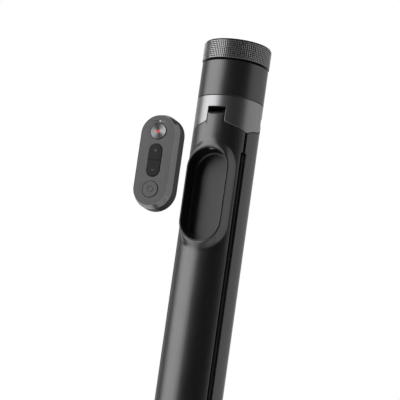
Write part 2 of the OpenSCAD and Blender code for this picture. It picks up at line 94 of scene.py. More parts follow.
def make_camera():
    """A long lens, below the head and looking up at it, rolled so that the stick leans to the right."""
    forward = Vector((math.sin(CAM_YAW) * math.cos(CAM_PITCH),
                      math.cos(CAM_YAW) * math.cos(CAM_PITCH), math.sin(CAM_PITCH)))
    level = Vector((math.cos(CAM_YAW), -math.sin(CAM_YAW), 0))
    upright = level.cross(forward)
    right = level * math.cos(CAM_ROLL) + upright * math.sin(CAM_ROLL)
    up = upright * math.cos(CAM_ROLL) - level * math.sin(CAM_ROLL)
    turn = Matrix.Rotation(CAM_AZIMUTH, 3, "Z")
    axes = Matrix((turn @ right, turn @ up, turn @ -forward)).transposed()
    data = bpy.data.cameras.new("camera")
    data.lens = CAM_LENS
    data.sensor_width = 36.0
    data.clip_start, data.clip_end = 0.05, 20.0
    camera = bpy.data.objects.new("camera", data)
    scene.collection.objects.link(camera)
    place = turn @ Vector((0, -CAM_DISTANCE, 0))
    place.z = RING_LOW.z * MM - CAM_DROP
    camera.matrix_world = Matrix.Translation(place) @ axes.to_4x4()
    scene.camera = camera


make_camera()


def around(angle_deg, distance, height):
    """A place round the stick's axis; angle 0 is on the camera's side and 90 is to its right."""
    a = CAM_AZIMUTH + math.radians(angle_deg)
    return Vector((distance * math.sin(a), -distance * math.cos(a), height))


# ---------------------------------------------------------------- light and floor
LIGHT_AIM = Vector((0, 0, -0.1))
ROOM_DIM = 0.01


def softbox(name, angle, distance, height, width, length, radiance):
    """A rectangular light that faces the stick; radiance is in watts per square metre and steradian."""
    data = bpy.data.lights.new(name, "AREA")
    data.shape = "RECTANGLE"
    data.size, data.size_y = width, length
    data.energy = radiance * math.pi * width * length
    light = bpy.data.objects.new(name, data)
    scene.collection.objects.link(light)
    light.location = around(angle, distance, height)
    aim = LIGHT_AIM - light.location
    light.rotation_euler = aim.to_track_quat("-Z", "Y").to_euler()


def make_world():
    """White, except that gloss reflects a dim room with a glow behind the object, overhead and below."""
    behind, overhead, below = around(180, 1, 0), Vector((0, 0, 1)), Vector((0, 0, -1))
    # The middle of each glow, the cosines where it starts and where it is full, and its strength.
    glows = ((behind, 0.45, 0.95, 0.7), (overhead, 0.7, 1.0, 0.1), (below, 0.22, 0.7, 0.65))
    world = bpy.data.worlds.new("studio")
    scene.world = world
    world.use_nodes = True
    nodes, links = world.node_tree.nodes, world.node_tree.links
    nodes.clear()
    out = nodes.new("ShaderNodeOutputWorld")
    mix = nodes.new("ShaderNodeMixShader")
    path = nodes.new("ShaderNodeLightPath")
    coords = nodes.new("ShaderNodeTexCoord")
    total = None
    for way, start, full, strength in glows:
        facing = nodes.new("ShaderNodeVectorMath")
        facing.operation = "DOT_PRODUCT"
        facing.inputs[1].default_value = way
        links.new(coords.outputs["Generated"], facing.inputs[0])
        glow = nodes.new("ShaderNodeMapRange")
        glow.interpolation_type = "SMOOTHSTEP"
        glow.inputs["From Min"].default_value = start
        glow.inputs["From Max"].default_value = full
        glow.inputs["To Min"].default_value = 0 if total else ROOM_DIM
        glow.inputs["To Max"].default_value = strength
        links.new(facing.outputs["Value"], glow.inputs["Value"])
        if total:
            both = nodes.new("ShaderNodeMath")
            links.new(total, both.inputs[0])
            links.new(glow.outputs[0], both.inputs[1])
            total = both.outputs[0]
        else:
            total = glow.outputs[0]
    room = nodes.new("ShaderNodeBackground")
    room.inputs["Color"].default_value = (1, 1, 1, 1)
    links.new(total, room.inputs["Strength"])
    white = nodes.new("ShaderNodeBackground")
    white.inputs["Color"].default_value = (1, 1, 1, 1)
    white.inputs["Strength"].default_value = 1.0
    links.new(path.outputs["Is Glossy Ray"], mix.inputs[0])
    links.new(white.outputs[0], mix.inputs[1])
    links.new(room.outputs[0], mix.inputs[2])
    links.new(mix.outputs[0], out.inputs["Surface"])


def make_floor():
    """A round pale floor that reaches far behind the stick and ends short of the low camera."""
    radius, reach = 2.0, 0.55
    mesh = bpy.data.meshes.new("floor")
    bm = bmesh.new()
    bmesh.ops.create_circle(bm, cap_ends=True, segments=128, radius=radius)
    bm.to_mesh(mesh)
    bm.free()
    floor = bpy.data.objects.new("floor", mesh)
    floor.location = around(180, radius - reach, SOLE_Z * MM)
    scene.collection.objects.link(floor)
    mat, nodes, links, shader = new_material("floor_paper")
    shader.inputs["Roughness"].default_value = 0.9
    grain = nodes.new("ShaderNodeTexNoise")
    grain.inputs["Scale"].default_value = 40
    varied(nodes, links, grain.outputs["Fac"], 0.84, 0.87, shader.inputs["Base Color"])
    mesh.materials.append(mat)
    floor.visible_glossy = False


# ---------------------------------------------------------------- materials
def new_material(name):
    """A material, with its nodes, its links and its shader."""
    mat = bpy.data.materials.new(name)
    mat.use_nodes = True
    nodes, links = mat.node_tree.nodes, mat.node_tree.links
    return mat, nodes, links, nodes["Principled BSDF"]


def noise_node(nodes, links, scale, detail=2.0, stretch=(1, 1, 1)):
    """Noise in object space, in metres, stretched along an axis where stretch is under 1."""
    coords = nodes.new("ShaderNodeTexCoord")
    mapping = nodes.new("ShaderNodeMapping")
    mapping.inputs["Scale"].default_value = stretch
    links.new(coords.outputs["Object"], mapping.inputs["Vector"])
    tex = nodes.new("ShaderNodeTexNoise")
    tex.inputs["Scale"].default_value = scale
    tex.inputs["Detail"].default_value = detail
    links.new(mapping.outputs["Vector"], tex.inputs["Vector"])
    return tex


def varied(nodes, links, source, low, high, target, sharp=False):
    """Maps a 0 to 1 noise output onto low..high and plugs it into target; sharp adds contrast."""
    tone = nodes.new("ShaderNodeMapRange")
    tone.inputs["From Min"].default_value = 0.3 if sharp else 0.0
    tone.inputs["From Max"].default_value = 0.7 if sharp else 1.0
    tone.inputs["To Min"].default_value, tone.inputs["To Max"].default_value = low, high
    links.new(source, tone.inputs["Value"])
    links.new(tone.outputs[0], target)


def colours(nodes, links, source, low, high, shader):
    """Lets the base colour run from low to high as source goes from 0 to 1."""
    mix = nodes.new("ShaderNodeMix")
    mix.data_type = "RGBA"
    mix.inputs["A"].default_value = (*low, 1)
    mix.inputs["B"].default_value = (*high, 1)
    links.new(source, mix.inputs["Factor"])
    links.new(mix.outputs["Result"], shader.inputs["Base Color"])


def greys(nodes, links, source, low, high, shader):
    colours(nodes, links, source, (low,) * 3, (high,) * 3, shader)


def bump(nodes, links, source, strength, depth, shader):
    """Raises the surface by source times depth, in metres."""
    node = nodes.new("ShaderNodeBump")
    node.inputs["Strength"].default_value = strength
    node.inputs["Distance"].default_value = depth
    links.new(source, node.inputs["Height"])
    links.new(node.outputs["Normal"], shader.inputs["Normal"])


def anodised(name, tone, rough, grain_bump=0.12):
    """Bead-blasted and anodised aluminium: fine grain, faint cloudiness and handling marks in the gloss."""
    mat, nodes, links, shader = new_material(name)
    shader.inputs["Metallic"].default_value = 1.0
    cloud = noise_node(nodes, links, scale=90, detail=3)
    tint = (1, 1, 1.02)
    low = tuple(tone * 0.97 * c for c in tint)
    high = tuple(tone * 1.03 * c for c in tint)
    colours(nodes, links, cloud.outputs["Fac"], low, high, shader)
    marks = noise_node(nodes, links, scale=420, detail=5, stretch=(1, 1, 0.25))
    varied(nodes, links, marks.outputs["Fac"], rough - 0.02, rough + 0.02, shader.inputs["Roughness"], True)
    fine = noise_node(nodes, links, scale=6000, detail=2)
    bump(nodes, links, fine.outputs["Fac"], grain_bump, 0.00005, shader)
    return mat


def knurled(name, tone, rough):
    """Anodised teeth with painted shade: the base colour darkens from the flats into the grooves and onto the
    chamfers, standing in for the shade that falls there.
    """
    full_shade_r, unshaded_r = RING_R - 0.24, RING_R - 0.05
    mat, nodes, links, shader = new_material(name)
    shader.inputs["Metallic"].default_value = 1.0
    coords = nodes.new("ShaderNodeTexCoord")
    across = nodes.new("ShaderNodeVectorMath")
    across.operation = "MULTIPLY"
    across.inputs[1].default_value = (1, 1, 0)
    links.new(coords.outputs["Object"], across.inputs[0])
    radius = nodes.new("ShaderNodeVectorMath")
    radius.operation = "LENGTH"
    links.new(across.outputs["Vector"], radius.inputs[0])
    height = nodes.new("ShaderNodeMapRange")
    height.inputs["From Min"].default_value = full_shade_r * MM
    height.inputs["From Max"].default_value = unshaded_r * MM
    links.new(radius.outputs["Value"], height.inputs["Value"])
    # Painted shade: the tone falls to a twentieth of the flats' tone in the grooves and on the chamfers.
    greys(nodes, links, height.outputs[0], tone * 0.05, tone, shader)
    marks = noise_node(nodes, links, scale=420, detail=5)
    varied(nodes, links, marks.outputs["Fac"], rough - 0.03, rough + 0.03, shader.inputs["Roughness"], True)
    return mat


def moulded(name, colour, rough, grain_bump=0.25, gloss=0.5):
    """Moulded plastic with spark-eroded texture."""
    mat, nodes, links, shader = new_material(name)
    shader.inputs["Specular IOR Level"].default_value = gloss
    cloud = noise_node(nodes, links, scale=120, detail=2)
    low = tuple(c * 0.9 for c in colour)
    high = tuple(c * 1.1 for c in colour)
    colours(nodes, links, cloud.outputs["Fac"], low, high, shader)
    fine = noise_node(nodes, links, scale=2500, detail=3)
    varied(nodes, links, fine.outputs["Fac"], rough - 0.06, rough + 0.06, shader.inputs["Roughness"])
    bump(nodes, links, fine.outputs["Fac"], grain_bump, 0.00008, shader)
    return mat


def turned_steel(name, tone, rough):
    """Turned steel with fine rings round its own axis."""
    mat, nodes, links, shader = new_material(name)
    shader.inputs["Metallic"].default_value = 1.0
    rings = noise_node(nodes, links, scale=900, detail=3, stretch=(0.15, 0.15, 6))
    greys(nodes, links, rings.outputs["Fac"], tone * 0.9, tone * 1.1, shader)
    varied(nodes, links, rings.outputs["Fac"], rough - 0.08, rough + 0.08, shader.inputs["Roughness"])
    bump(nodes, links, rings.outputs["Fac"], 0.1, 0.00004, shader)
    return mat


def spun_metal(name, tone, rough):
    """A round face turned on a lathe, with a painted highlight: the base colour brightens in two fans and
    darkens between them, standing in for the reflections of its fine rings.
    """
    fans, first_fan = 2.0, -0.7
    mat, nodes, links, shader = new_material(name)
    shader.inputs["Metallic"].default_value = 1.0
    shader.inputs["Anisotropic"].default_value = 0.85
    cloud = noise_node(nodes, links, scale=300, detail=3)
    fan = nodes.new("ShaderNodeTexCoord")
    centred = nodes.new("ShaderNodeMapping")
    centred.inputs["Location"].default_value = (-0.5, 0, -0.5)
    links.new(fan.outputs["Generated"], centred.inputs["Vector"])
    split = nodes.new("ShaderNodeSeparateXYZ")
    links.new(centred.outputs["Vector"], split.inputs[0])
    angle = nodes.new("ShaderNodeMath")
    angle.operation = "ARCTAN2"
    links.new(split.outputs["Z"], angle.inputs[0])
    links.new(split.outputs["X"], angle.inputs[1])
    turned = nodes.new("ShaderNodeMath")
    turned.operation = "MULTIPLY_ADD"
    turned.inputs[1].default_value, turned.inputs[2].default_value = fans, first_fan
    links.new(angle.outputs[0], turned.inputs[0])
    fan_highlight = nodes.new("ShaderNodeMath")
    fan_highlight.operation = "COSINE"
    links.new(turned.outputs[0], fan_highlight.inputs[0])
    share = nodes.new("ShaderNodeMapRange")
    share.inputs["From Min"].default_value = -1.0
    links.new(fan_highlight.outputs[0], share.inputs["Value"])
    # Painted highlight and shade: the fans run from a quarter to one and a half times the tone.
    greys(nodes, links, share.outputs[0], tone * 0.25, tone * 1.5, shader)
    varied(nodes, links, cloud.outputs["Fac"], rough - 0.04, rough + 0.04, shader.inputs["Roughness"])
    tangent = nodes.new("ShaderNodeTangent")
    tangent.direction_type = "RADIAL"
    tangent.axis = "Y"
    links.new(tangent.outputs["Tangent"], shader.inputs["Tangent"])
    return mat


def drawn_tube(name, tone):
    """Drawn and anodised tube: faint streaks along its length."""
    mat, nodes, links, shader = new_material(name)
    shader.inputs["Metallic"].default_value = 1.0
    streaks = noise_node(nodes, links, scale=1500, detail=3, stretch=(1, 1, 0.01))
    greys(nodes, links, streaks.outputs["Fac"], tone * 0.85, tone * 1.15, shader)
    varied(nodes, links, streaks.outputs["Fac"], 0.24, 0.38, shader.inputs["Roughness"])
    bump(nodes, links, streaks.outputs["Fac"], 0.08, 0.00003, shader)
    return mat


def rubber(name, tone):
    """Matt rubber with a coarse grain."""
    mat, nodes, links, shader = new_material(name)
    fine = noise_node(nodes, links, scale=1800, detail=4)
    greys(nodes, links, fine.outputs["Fac"], tone * 0.8, tone * 1.3, shader)
    varied(nodes, links, fine.outputs["Fac"], 0.62, 0.8, shader.inputs["Roughness"])
    bump(nodes, links, fine.outputs["Fac"], 0.3, 0.0001, shader)
    return mat


MATERIALS = {
    # Painted sheen: the knurl's flats take three times the head's tone, for the light its teeth catch; its
    # grooves carry painted shade.
    "knurled_black": knurled("knurled_black", 0.36, 0.3),
    "head_black": anodised("head_black", 0.12, 0.36),
    "sleeve_grey": anodised("sleeve_grey", 0.32, 0.36, grain_bump=0.06),
    "leg_black": anodised("leg_black", 0.118, 0.36),
    # Painted shade: the pocket's lining is the leg's anodised black at about two thirds of its tone, for the
    # shade inside the recess.
    "pocket_black": anodised("pocket_black", 0.08, 0.42),
    "black_plastic": moulded("black_plastic", (0.014, 0.014, 0.015), 0.5),
    "natural_nylon": moulded("natural_nylon", (0.5, 0.49, 0.45), 0.45),
    "rubber": rubber("rubber", 0.018),
    "steel": turned_steel("steel", 0.6, 0.28),
    "tube_black": drawn_tube("tube_black", 0.12),
    "remote_face": anodised("remote_face", 0.1, 0.4),
    "remote_frame": anodised("remote_frame", 0.22, 0.26),
    "remote_case": moulded("remote_case", (0.012, 0.012, 0.0124), 0.42, gloss=0.15),
    "record_metal": spun_metal("record_metal", 0.2, 0.3),
    "rocker_plastic": moulded("rocker_plastic", (0.008, 0.008, 0.0083), 0.5, gloss=0.2),
    "board": moulded("board", (0.01, 0.06, 0.03), 0.35),
    "battery": anodised("battery", 0.5, 0.4),
    "record_red": moulded("record_red", (0.62, 0.02, 0.015), 0.3, grain_bump=0.03),
    "rocker_mark": moulded("rocker_mark", (0.07, 0.07, 0.072), 0.5),
    "lens": moulded("lens", (0.5, 0.5, 0.5), 0.2, grain_bump=0.02),
}

node_slots = {s["node"]: s["material_slot"] for s in frame["record"]["subparts"]}
for node_name, node_object in frame["nodes"].items():
    node_object.data.materials.clear()
    node_object.data.materials.append(MATERIALS[node_slots[node_name]])


# ---------------------------------------------------------------- mesh helpers, in millimetres
def plain(x, y, z):
    return Vector((x, y, z))


def on_remote(x, y, z):
    """From the remote's own plan, with z counted out from its back, to the frame."""
    return Vector((x, -(REMOTE_BACK_H + z), POCKET_Z + y))


def on_remote_at(offset):
    """The same for a plan whose middle is moved along the remote."""
    return lambda x, y, z: on_remote(x, y + offset, z)


def in_pocket(x, y, z):
    """From the pocket's plan, with z counted out from the stick's axis, to the frame."""
    return Vector((x, -z, POCKET_Z + y))


def rounded(outline, radii, steps=3, closed=True):
    """Rounds the corners of an outline with arcs; radii gives one radius for each corner."""
    most = 0.49  # of the edge to a neighbour, so that two arcs never meet
    result = []
    count = len(outline)
    for i, (corner, radius) in enumerate(zip(outline, radii)):
        here = Vector(corner)
        at_end = not closed and i in (0, count - 1)
        if radius <= 0 or at_end:
            result.append(tuple(here))
            continue
        before = Vector(outline[i - 1]) - here
        after = Vector(outline[(i + 1) % count]) - here
        half = before.angle(after) / 2
        reach = min(radius / math.tan(half), before.length * most, after.length * most)
        start = here + before.normalized() * reach
        stop = here + after.normalized() * reach
        for k in range(steps + 1):
            s = k / steps
            a, b, c = (1 - s) ** 2, 2 * s * (1 - s) * math.sin(half), s ** 2
            result.append(tuple((start * a + here * b + stop * c) / (a + b + c)))
    return result


def lathe(outline, segments=160, place=plain, closed=True):
    """Turns an outline of (radius, height) round the Z axis."""
    verts, faces = [], []
    count = len(outline)
    for k in range(segments):
        a = 2 * math.pi * k / segments
        verts += [place(r * math.sin(a), -r * math.cos(a), z) for r, z in outline]
    for k in range(segments):
        here, there = k * count, ((k + 1) % segments) * count
        for i in range(count if closed else count - 1):
            j = (i + 1) % count
            faces.append((here + i, there + i, there + j, here + j))
    return verts, faces


def stadium_points(length, width, inset=0.0):
    """Points round a stadium in its plan, anticlockwise from the lower end of its right side."""
    arc_steps, straight_steps = 28, 6
    radius, half = width / 2 - inset, (length - width) / 2
    points = [(radius, half * (2 * k / straight_steps - 1)) for k in range(straight_steps)]
    points += [(radius * math.cos(a), half + radius * math.sin(a))
               for a in (math.pi * k / arc_steps for k in range(arc_steps))]
    points += [(-radius, half * (1 - 2 * k / straight_steps)) for k in range(straight_steps)]
    points += [(-radius * math.cos(a), -half - radius * math.sin(a))
               for a in (math.pi * k / arc_steps for k in range(arc_steps))]
    return points


def stadium_sweep(length, width, outline, place, closed=True):
    """Sweeps an outline of (inset, height) round a stadium; an open outline gets a cap at each end."""
    verts, faces = [], []
    for inset, height in outline:
        verts += [place(x, y, height) for x, y in stadium_points(length, width, inset)]
    n = len(stadium_points(length, width))
    rings = len(outline)
    for i in range(rings if closed else rings - 1):
        a, b = i * n, ((i + 1) % rings) * n
        for k in range(n):
            m = (k + 1) % n
            faces.append((a + k, a + m, b + m, b + k))
    if not closed:
        faces.append(tuple(range(n))[::-1])
        faces.append(tuple(range((rings - 1) * n, rings * n)))
    return verts, faces


def plate(outlines, low, high, edge, place):
    """A flat plate between two heights, from closed outlines of (x, y), with rounded edges."""
    curve = bpy.data.curves.new("outline", "CURVE")
    curve.dimensions = "2D"
    curve.fill_mode = "BOTH"
    curve.extrude = (high - low) / 2 - edge
    curve.bevel_depth = edge
    curve.bevel_resolution = 1
    curve.offset = -edge
    for outline in outlines:
        spline = curve.splines.new("POLY")
        spline.points.add(len(outline) - 1)
        for point, (x, y) in zip(spline.points, outline):
            point.co = (x, y, 0, 1)
        spline.use_cyclic_u = True
    holder = bpy.data.objects.new("outline", curve)
    scene.collection.objects.link(holder)
    mesh = bpy.data.meshes.new_from_object(holder.evaluated_get(bpy.context.evaluated_depsgraph_get()))
    middle = (low + high) / 2
    verts = [place(v.co.x, v.co.y, v.co.z + middle) for v in mesh.vertices]
    faces = [tuple(p.vertices) for p in mesh.polygons]
    bpy.data.objects.remove(holder)
    bpy.data.curves.remove(curve)
    bpy.data.meshes.remove(mesh)
    return verts, faces


def circle_points(radius, y, steps=72):
    """Points round a circle whose middle is at (0, y)."""
    return [(radius * math.cos(2 * math.pi * k / steps), y + radius * math.sin(2 * math.pi * k / steps))
            for k in range(steps)]


def piece(name, shapes, body, slot, replaced=(), sharp=35, material=None):
    """Joins shapes of (verts, faces) into one object that rides on a body."""
    bm = bmesh.new()
    for verts, faces in shapes:
        made = [bm.verts.new(v * MM) for v in verts]
        for face in faces:
            if len(set(face)) > 2:
                bm.faces.new([made[i] for i in face])
    bmesh.ops.remove_doubles(bm, verts=bm.verts, dist=2e-7)
    bmesh.ops.dissolve_degenerate(bm, edges=bm.edges, dist=1e-7)
    bmesh.ops.recalc_face_normals(bm, faces=bm.faces)
    mesh = bpy.data.meshes.new(name)
    bm.to_mesh(mesh)
    bm.free()
    return finish_piece(name, mesh, body, slot, replaced, sharp, material)


def finish_piece(name, mesh, body, slot, replaced, sharp, material=None):
    """Shades a mesh smooth up to edges of sharp degrees, keeps its flats flat, parents it to its body and
    hides the CAD nodes it stands for.
    """
    mesh.shade_smooth()
    mesh.set_sharp_from_angle(angle=math.radians(sharp))
    mesh.materials.clear()
    mesh.materials.append(material or MATERIALS[slot])
    obj = bpy.data.objects.new(name, mesh)
    scene.collection.objects.link(obj)
    flat = obj.modifiers.new("flat_faces", "WEIGHTED_NORMAL")
    flat.keep_sharp = True
    flat.weight = 90
    obj.data = bpy.data.meshes.new_from_object(obj.evaluated_get(bpy.context.evaluated_depsgraph_get()))
    obj.modifiers.clear()
    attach(obj, body)
    if replaced:
        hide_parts(*replaced)
    return obj


def bevelled_mesh(mesh, width, segments=2):
    """Rounds every edge of a mesh that turns by more than 30 degrees."""
    holder = bpy.data.objects.new("bevelled", mesh)
    scene.collection.objects.link(holder)
    bevel = holder.modifiers.new("edges", "BEVEL")
    bevel.width = width * MM
    bevel.segments = segments
    bevel.limit_method = "ANGLE"
    bevel.angle_limit = math.radians(30)
    bevel.use_clamp_overlap = False
    bevel.miter_outer = "MITER_ARC"
    bevel.loop_slide = False
    result = bpy.data.meshes.new_from_object(holder.evaluated_get(bpy.context.evaluated_depsgraph_get()))
    bpy.data.objects.remove(holder)
    return result


SOFT_SHARP = 40


def cad_copy(node):
    """A cleaned copy of a CAD node's mesh, with flat faces whole."""
    bm = bmesh.new()
    bm.from_mesh(frame["nodes"][node].data)
    bmesh.ops.remove_doubles(bm, verts=bm.verts, dist=1e-6)
    bmesh.ops.dissolve_limit(bm, angle_limit=math.radians(0.3), verts=bm.verts, edges=bm.edges)
    return bm


def softened(node, width, segments=2):
    """A copy of a CAD node with rounded edges, that stands for it."""
    bm = cad_copy(node)
    mesh = bpy.data.meshes.new(node)
    bm.to_mesh(mesh)
    bm.free()
    body = next(b for b, names in frame["record"]["behaviour"]["bodies"].items() if node in names)
    rounded_mesh = bevelled_mesh(mesh, width, segments)
    finish_piece(node + "_soft", rounded_mesh, body, node_slots[node], [node], SOFT_SHARP)


# ---------------------------------------------------------------- thumb ring, seat and stud
def thumb_ring():
    """A ring with a square knurl of flat-topped teeth between two plain chamfers."""
    low, high, bore = RING_LOW.z, RING_HIGH.z, SEAT_HIGH.x + GAP
    teeth, rows, depth, band_low, band_high = 100, 9, 0.28, 0.6, 0.75
    cell = [(0.0, 0), (0.22, 1), (0.78, 1)]  # share of a tooth's pitch, and groove 0 or flat 1
    valley = RING_R - depth
    angles = [(2 * math.pi * (i + share) / teeth, up) for i in range(teeth) for share, up in cell]
    first, last = low + band_low, high - band_high
    heights = [(first + (last - first) * (j + share) / rows, up) for j in range(rows) for share, up in cell]
    heights.append((last, 0))
    loops = [[(RING_R - depth * (1 - up * here), z) for _, here in angles] for z, up in heights]
    upper_chamfer = [(RING_R - 0.12, last + 0.03), (RING_R - 0.62, high - 0.03), (RING_R - 0.72, high)]
    bore_edges = [(bore + 0.3, high), (bore + 0.05, high - 0.08), (bore, high - 0.3), (bore, low + 0.2),
                  (bore + 0.2, low)]
    lower_chamfer = [(RING_R - 1.0, low), (RING_R - 0.9, low + 0.05), (valley, first - 0.03)]
    for corner in upper_chamfer + bore_edges + lower_chamfer:
        loops.append([corner] * len(angles))
    verts, faces = [], []
    count = len(angles)
    for loop in loops:
        for (r, z), (a, _) in zip(loop, angles):
            verts.append(plain(r * math.sin(a), -r * math.cos(a), z))
    for j in range(len(loops)):
        a, b = j * count, ((j + 1) % len(loops)) * count
        for i in range(count):
            k = (i + 1) % count
            faces.append((a + i, a + k, b + k, b + i))
    piece("knurled_ring", [(verts, faces)], "ring", "knurled_black", ["thumb_ring"], 15)


def rubber_seat():
    """The seat's top has round grooves that grip the underside of a camera."""
    low, high, outer = SEAT_LOW.z, SEAT_HIGH.z, SEAT_HIGH.x
    bore = STUD_R + GAP
    grooves, rim, pitch, depth = 6, 1.3, 1.25, 0.25
    outline = [(bore, low), (outer, low), (outer, high)]
    radii = [0, 0, 0.3]
    for k in range(grooves):
        r = outer - rim - pitch * k
        outline += [(r, high), (r - 0.12, high - depth), (r - 0.42, high - depth), (r - 0.54, high)]
        radii += [0.06] * 4
    outline.append((bore, high))
    radii.append(0.2)
    piece("grooved_seat", [lathe(rounded(outline, radii, 2), 144)], "ring", "rubber", ["rubber_seat"])


def camera_stud():
    """A 1/4 inch screw of 20 threads to the inch, on its hub."""
    pitch, minor, steps, rows = 1.27, 2.5, 64, 56
    flank_slope, root_flat, tip_r, tip_slope = 2.6, 0.15, 2.35, 1.2
    top, relief, relief_top, thread_low = STUD_HIGH.z, STUD_R - 0.5, 0.02, 0.05
    verts, faces = [], []
    heights = [SEAT_LOW.z, relief_top]
    heights += [thread_low + (top - thread_low) * j / rows for j in range(rows + 1)]
    for j, z in enumerate(heights):
        for i in range(steps):
            a = 2 * math.pi * i / steps
            phase = (z / pitch - i / steps) % 1
            crest = min(1, max(0, flank_slope * abs(phase - 0.5) - root_flat))
            r = relief if j < 2 else minor + (STUD_R - minor) * crest
            r = min(r, tip_r + tip_slope * (top - z))
            verts.append(plain(r * math.cos(a), r * math.sin(a), z))
    for j in range(len(heights) - 1):
        for i in range(steps):
            k = (i + 1) % steps
            faces.append((j * steps + i, j * steps + k, (j + 1) * steps + k, (j + 1) * steps + i))
    faces.append(tuple(range(steps))[::-1])
    faces.append(tuple(range((len(heights) - 1) * steps, len(heights) * steps)))
    low, hub = STUD_LOW.z, STUD_HIGH.x
    groove_r, groove_low, groove_high = hub - 0.95, low + 0.3, low + 0.9
    outline = [(0, low), (hub, low), (hub, groove_low), (groove_r, groove_low), (groove_r, groove_high),
               (hub, groove_high), (hub, SEAT_LOW.z), (0, SEAT_LOW.z)]
    barrel = lathe(rounded(outline, [0, 0.15, 0.1, 0, 0, 0.1, 0.1, 0], 2), 96, closed=False)
    piece("threaded_stud", [(verts, faces), barrel], "ring", "steel", ["camera_stud"])


def head_housing():
    """The smooth turned cup under the thumb ring."""
    low, high, wall, deck, bore = HEAD_LOW.z, HEAD_HIGH.z, 1.6, 3.0, 6.0
    outline = [(BODY_R - wall, low), (BODY_R, low), (BODY_R, high), (bore, high), (bore, high - deck),
               (BODY_R - wall, high - deck)]
    outline = rounded(outline, [0.15, 0.25, 0.4, 0.3, 0.1, 0.5], 4)
    piece("head_turned", [lathe(outline, 224)], "head", "head_black", ["head_housing"])


# ---------------------------------------------------------------- leg A, with the soft boss round its pocket
SKIN = 1.5              # the shell's thickness
GROOVE_HALF = 1.65      # half of the groove between two legs
NARROW_HALF = 0.6       # half of it beside the legs' heads
HEAD_BOTTOM_Z = -60.95  # where the legs' heads end and the groove widens
PATCH_TOP_Z = -55.0     # the patch with the boss meets the plain shell here
PATCH_LOW_Z = -119.5    # and here
HOLE_R = TRAY_HIGH.x + GAP
HOLE_HALF = (TRAY_HIGH.z - TRAY_LOW.z) / 2 - TRAY_HIGH.x
RIM_H = -TRAY_LOW.y + GAP
RIM_EDGE = 0.1          # the boss's rim, across its flat and down its inner edge
FLANK = 1.7             # how far the boss spreads from the hole at its sides
FLANK_ENDS = 3.9        # how much further it spreads at its ends
EDGE = 0.35             # the rounding of the shell's edges
ARC_MIDDLE = 0.29       # 1 - 1 / sqrt(2), where an arc across a right angle passes the corner


def side_point(reach, inset):
    """A point (across, out) on a leg's side plane at a distance from the stick's axis."""
    u = math.sqrt(reach * reach - inset * inset)
    return u * math.sin(SECTOR) - inset * math.cos(SECTOR), u * math.cos(SECTOR) + inset * math.sin(SECTOR)


def side_profile(inset, inner):
    """The outline of a leg's long edge from its outer skin in along its side plane."""
    corner = Vector(side_point(BODY_R, inset))
    turn = EDGE / BODY_R
    angle = math.atan2(corner.x, corner.y) - turn
    on_skin = Vector((BODY_R * math.sin(angle), BODY_R * math.cos(angle)))
    on_side = Vector(side_point(BODY_R - EDGE, inset))
    middle = corner + ((on_skin - corner) + (on_side - corner)) * ARC_MIDDLE
    return [tuple(on_skin), tuple(middle), tuple(on_side), side_point(inner, inset)]


def boss_height(t, gap, reach):
    """Distance of leg A's skin from the axis: the body's circle, raised to the rim near the pocket."""
    body = math.sqrt(BODY_R ** 2 - t ** 2)
    x = min(max(1 - (gap - RIM_EDGE) / (reach - RIM_EDGE), 0), 1)
    lift = x * x * (3 - 2 * x)
    return body + (RIM_H - body) * lift


